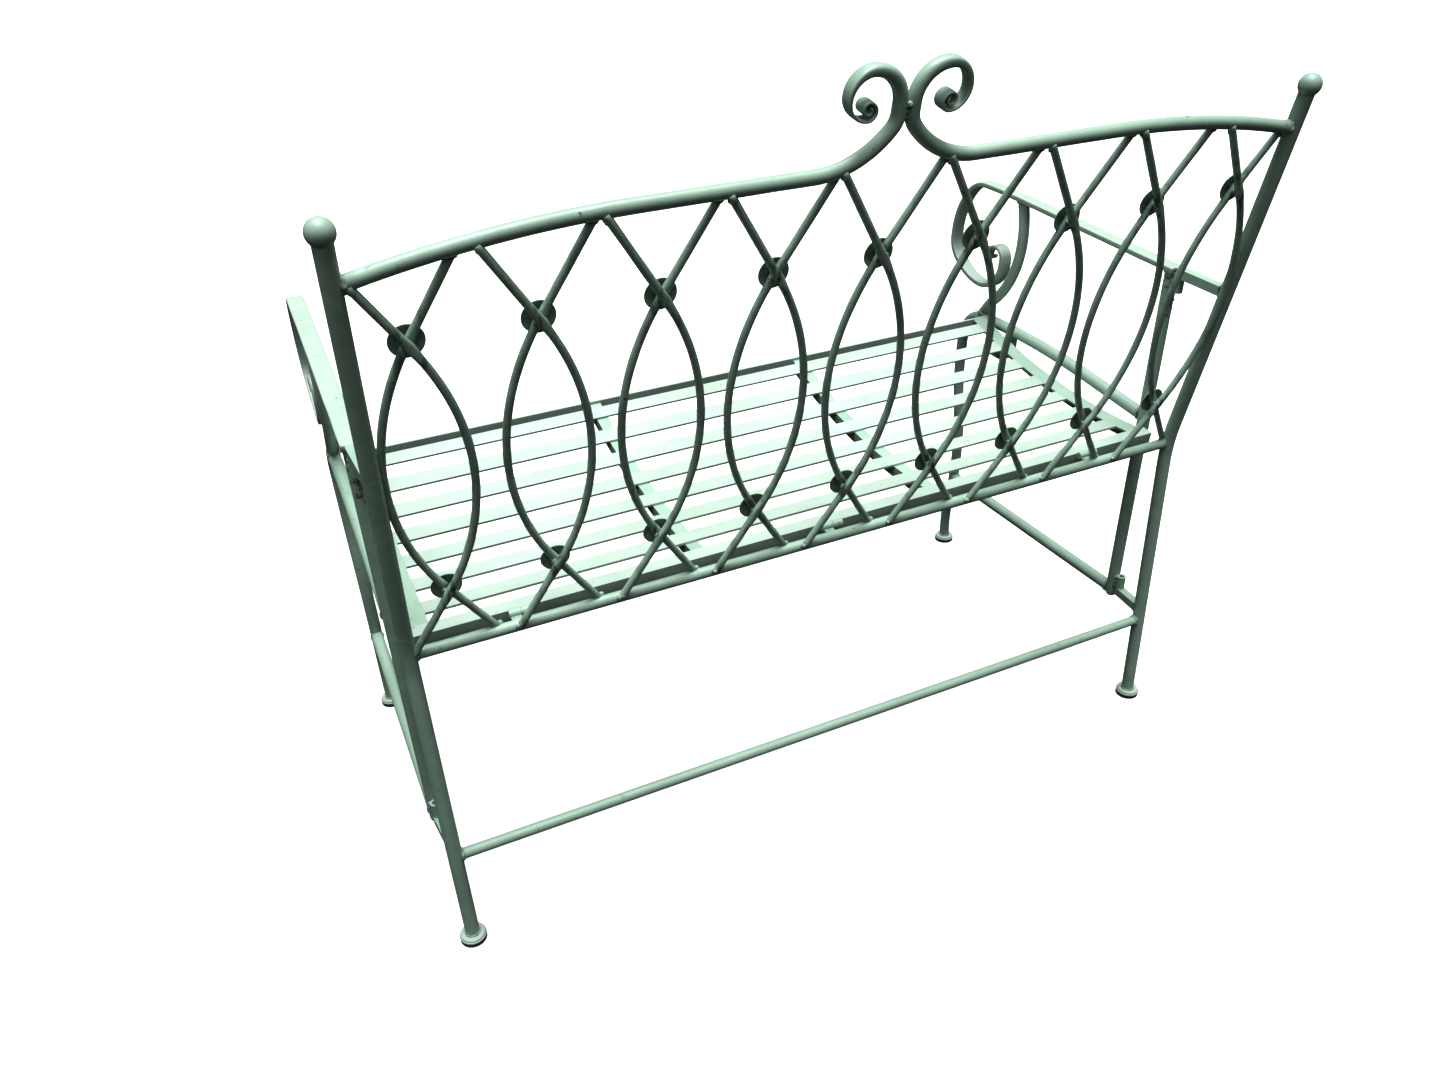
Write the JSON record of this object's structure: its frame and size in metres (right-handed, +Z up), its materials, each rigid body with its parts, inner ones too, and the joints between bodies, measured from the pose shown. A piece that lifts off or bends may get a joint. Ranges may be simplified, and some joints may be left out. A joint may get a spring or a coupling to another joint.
{
  "type": "folding garden bench",
  "caption": "Two-seat wrought metal garden bench: lattice back with scrolled top rail, dished slatted seat that flips up, and scroll-ended arm frames on vertical pins.",
  "frame": {"origin": "on the floor under the middle of the bench's bounding box", "axes": "+X along the bench towards the left hand of someone sitting on it, the longest extent; -Y is the front, where the sitter's legs are; +Z up"},
  "size_m": [1.042, 0.617, 0.9462],
  "materials": {
    "sage_paint": "satin sage green paint over hand-worked steel, thin dark wear at edges and joints",
    "foot_rubber": "matt black rubber"
  },
  "bodies": {
    "frame": {"post_left": "sage_paint", "post_right": "sage_paint", "finials": "sage_paint", "bottom_rail": "sage_paint", "rear_stretcher": "sage_paint", "top_rail_left": "sage_paint", "top_rail_right": "sage_paint", "rod_rear_1": "sage_paint", "rod_rear_2": "sage_paint", "rod_rear_3": "sage_paint", "rod_rear_4": "sage_paint", "rod_rear_5": "sage_paint", "rod_rear_6": "sage_paint", "rod_rear_7": "sage_paint", "rod_rear_8": "sage_paint", "rod_rear_9": "sage_paint", "rod_front_1": "sage_paint", "rod_front_2": "sage_paint", "rod_front_3": "sage_paint", "rod_front_4": "sage_paint", "rod_front_5": "sage_paint", "rod_front_6": "sage_paint", "rod_front_7": "sage_paint", "rod_front_8": "sage_paint", "rod_front_9": "sage_paint", "rosettes": "sage_paint", "stubs_left": "sage_paint", "stubs_right": "sage_paint", "side_pins": "sage_paint", "rail_barrels": "sage_paint", "seat_pins": "sage_paint", "rear_feet": "sage_paint", "rear_pads": "foot_rubber"},
    "seat": {"seat_side_left": "sage_paint", "seat_side_right": "sage_paint", "seat_front": "sage_paint", "seat_rear": "sage_paint", "slats": "sage_paint", "cross_members": "sage_paint", "seat_barrels": "sage_paint"},
    "side_left": {"upright_left": "sage_paint", "seat_rail_left": "sage_paint", "front_leg_left": "sage_paint", "stretcher_left": "sage_paint", "arm_left": "sage_paint", "arm_support_left": "sage_paint", "knuckles_left": "sage_paint", "rest_lug_left": "sage_paint", "front_foot_left": "sage_paint", "front_pad_left": "foot_rubber"},
    "side_right": {"upright_right": "sage_paint", "seat_rail_right": "sage_paint", "front_leg_right": "sage_paint", "stretcher_right": "sage_paint", "arm_right": "sage_paint", "arm_support_right": "sage_paint", "knuckles_right": "sage_paint", "rest_lug_right": "sage_paint", "front_foot_right": "sage_paint", "front_pad_right": "foot_rubber"}
  },
  "joints": [
    {"name": "seat_hinge", "type": "hinge", "parent": "frame", "child": "seat", "pos_m": [0, 0.1855, 0.4205], "axis": [-1, 0, 0], "range_deg": [0, 90]},
    {"name": "side_left_hinge", "type": "hinge", "parent": "frame", "child": "side_left", "pos_m": [0.505, 0.1623, 0.39], "axis": [0, 0, 1], "range_deg": [0, 20]},
    {"name": "side_right_hinge", "type": "hinge", "parent": "frame", "child": "side_right", "pos_m": [-0.505, 0.1623, 0.39], "axis": [0, 0, -1], "range_deg": [0, 20]}
  ]
}
